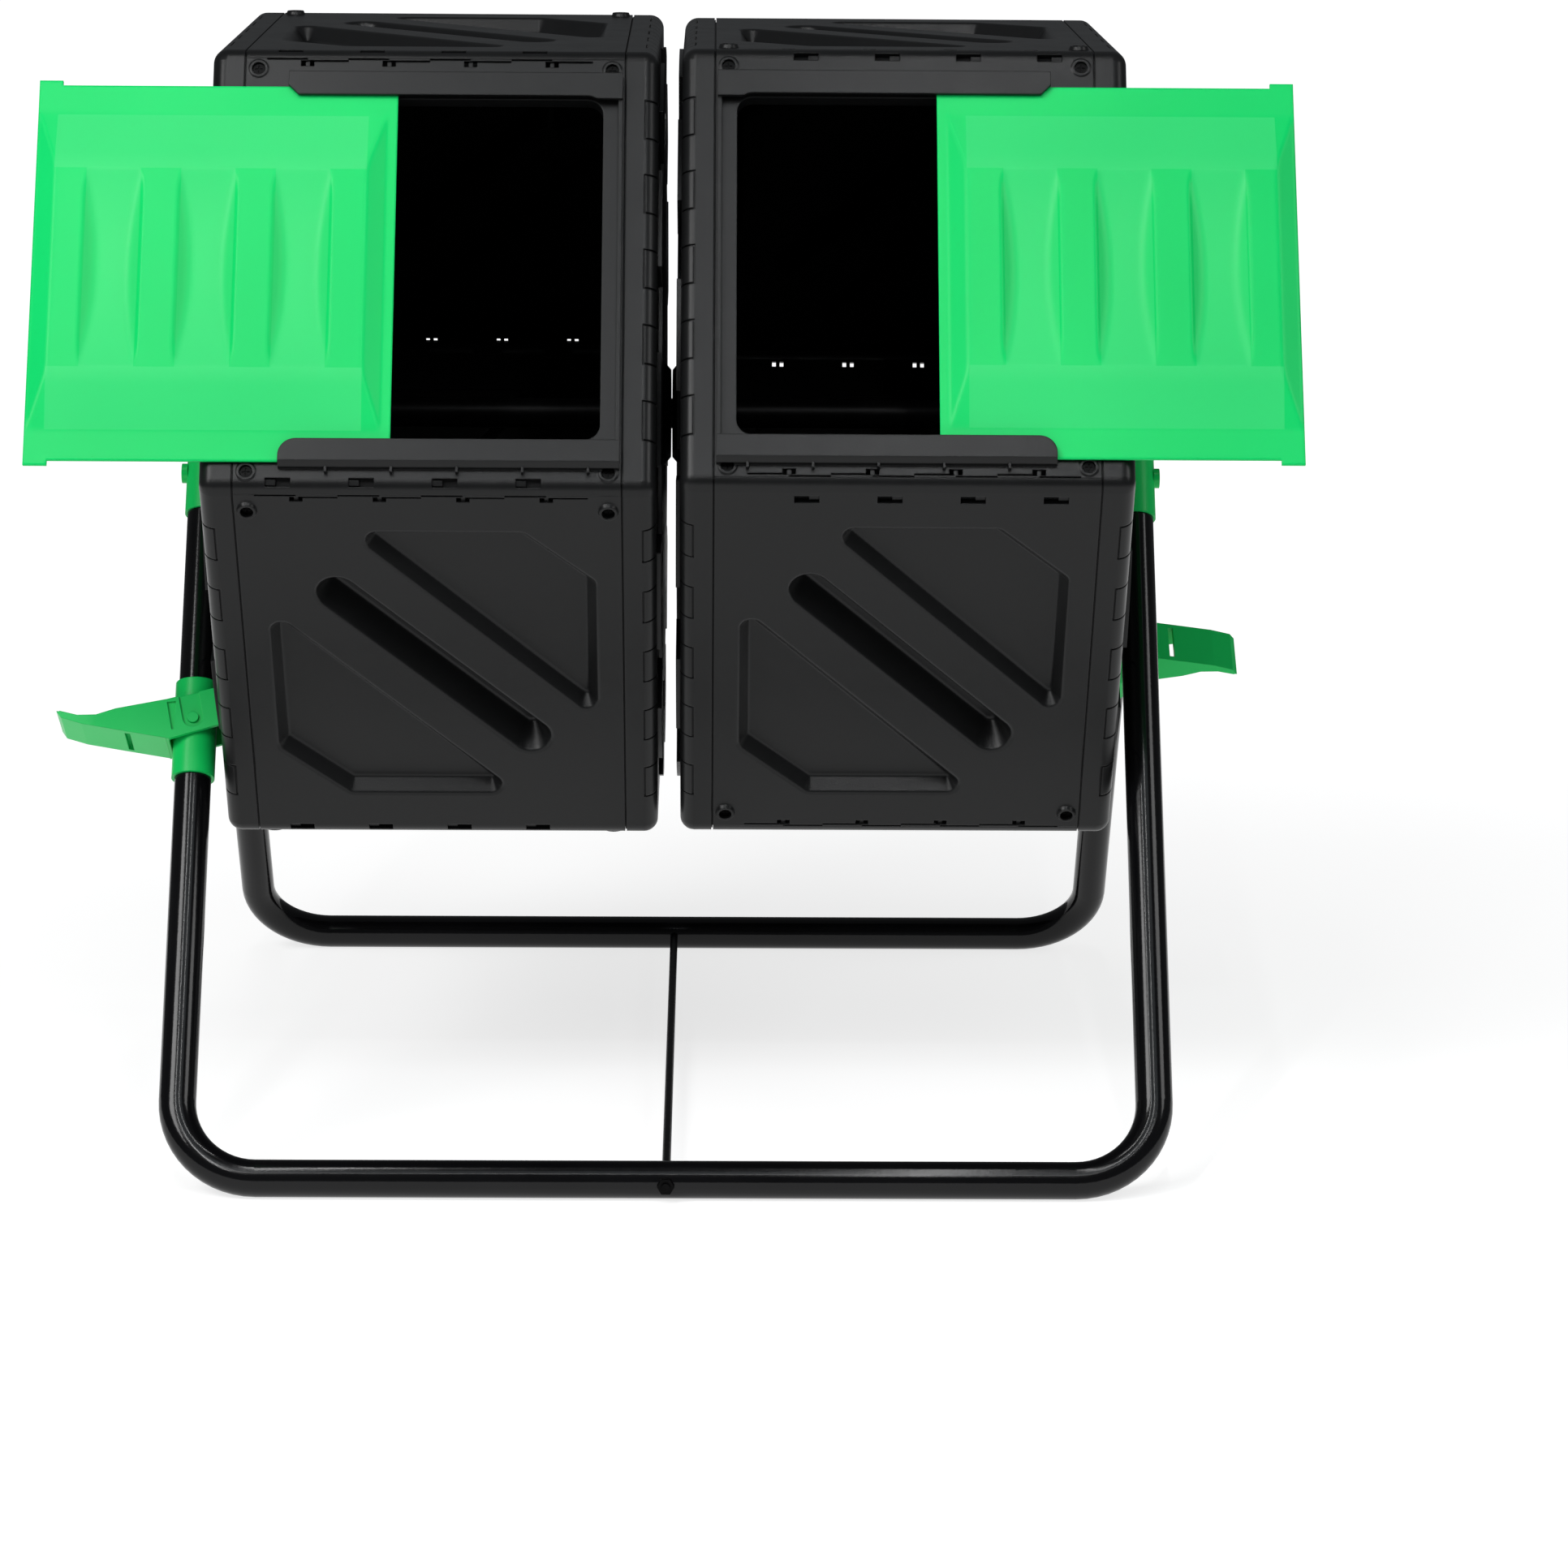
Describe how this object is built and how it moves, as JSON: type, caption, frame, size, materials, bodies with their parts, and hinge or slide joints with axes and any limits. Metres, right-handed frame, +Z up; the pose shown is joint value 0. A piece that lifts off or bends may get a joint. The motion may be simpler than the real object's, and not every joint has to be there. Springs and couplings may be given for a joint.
{
  "type": "compost tumbler",
  "caption": "Compost tumbler with twin hexagonal drums turning on a shared axle, sliding green doors, drum latches and a bent-tube stand.",
  "frame": {"origin": "on the ground, under the middle of the axle", "axes": "+Z up, X along the axle, the door side faces -Y"},
  "size_m": [0.8698, 0.719, 0.7758],
  "materials": {
    "drum_plastic": "satin charcoal moulded polypropylene",
    "door_green_plastic": "glossy bright green moulded plastic",
    "latch_green_plastic": "glossy green moulded plastic",
    "powder_coated_tube": "gloss black powder coat over steel tube",
    "black_steel": "black zinc-plated steel",
    "bush_plastic": "plain black bearing plastic"
  },
  "bodies": {
    "root": {"front_leg_tube": "powder_coated_tube", "rear_leg_tube": "powder_coated_tube", "axle_tube": "black_steel", "spreader_rod": "black_steel", "spreader_nuts": "black_steel", "left_hub_bracket": "latch_green_plastic", "left_hub_screws": "black_steel", "left_axle_cap": "drum_plastic", "left_latch_sleeve": "latch_green_plastic", "right_hub_bracket": "latch_green_plastic", "right_hub_screws": "black_steel", "right_axle_cap": "drum_plastic", "right_latch_sleeve": "latch_green_plastic"},
    "left_drum": {"left_top_panel": "drum_plastic", "left_upper_rear_panel": "drum_plastic", "left_lower_rear_panel": "drum_plastic", "left_bottom_panel": "drum_plastic", "left_lower_front_panel": "drum_plastic", "left_door_frame": "drum_plastic", "left_outer_end_cap": "drum_plastic", "left_inner_end_cap": "drum_plastic", "left_outer_bushing": "bush_plastic", "left_inner_bushing": "bush_plastic", "left_panel_screws": "black_steel"},
    "left_sliding_door": {"left_door": "door_green_plastic"},
    "left_latch": {"left_latch_lever": "latch_green_plastic"},
    "right_drum": {"right_top_panel": "drum_plastic", "right_upper_rear_panel": "drum_plastic", "right_lower_rear_panel": "drum_plastic", "right_bottom_panel": "drum_plastic", "right_lower_front_panel": "drum_plastic", "right_door_frame": "drum_plastic", "right_outer_end_cap": "drum_plastic", "right_inner_end_cap": "drum_plastic", "right_outer_bushing": "bush_plastic", "right_inner_bushing": "bush_plastic", "right_panel_screws": "black_steel"},
    "right_sliding_door": {"right_door": "door_green_plastic"},
    "right_latch": {"right_latch_lever": "latch_green_plastic"}
  },
  "joints": [
    {"name": "left_drum_turn", "type": "hinge", "parent": "root", "child": "left_drum", "pos_m": [0, 0, 0.494], "axis": [-1, 0, 0], "range_deg": [-30, 150]},
    {"name": "left_door_slide", "type": "slide", "parent": "left_drum", "child": "left_sliding_door", "axis": [-1, 0, 0], "range_m": [-0.147, 0.055]},
    {"name": "right_drum_turn", "type": "hinge", "parent": "root", "child": "right_drum", "pos_m": [0, 0, 0.494], "axis": [-1, 0, 0], "range_deg": [-30, 150]},
    {"name": "right_door_slide", "type": "slide", "parent": "right_drum", "child": "right_sliding_door", "axis": [1, 0, 0], "range_m": [-0.1435, 0.055]},
    {"name": "left_latch_turn", "type": "hinge", "parent": "root", "child": "left_latch", "pos_m": [-0.338, -0.14532, 0.28812], "axis": [0, 0.817, -0.5767], "range_deg": [0, 12]},
    {"name": "right_latch_turn", "type": "hinge", "parent": "root", "child": "right_latch", "pos_m": [0.338, 0.14532, 0.28812], "axis": [0, 0.817, 0.5767], "range_deg": [0, 12]}
  ]
}
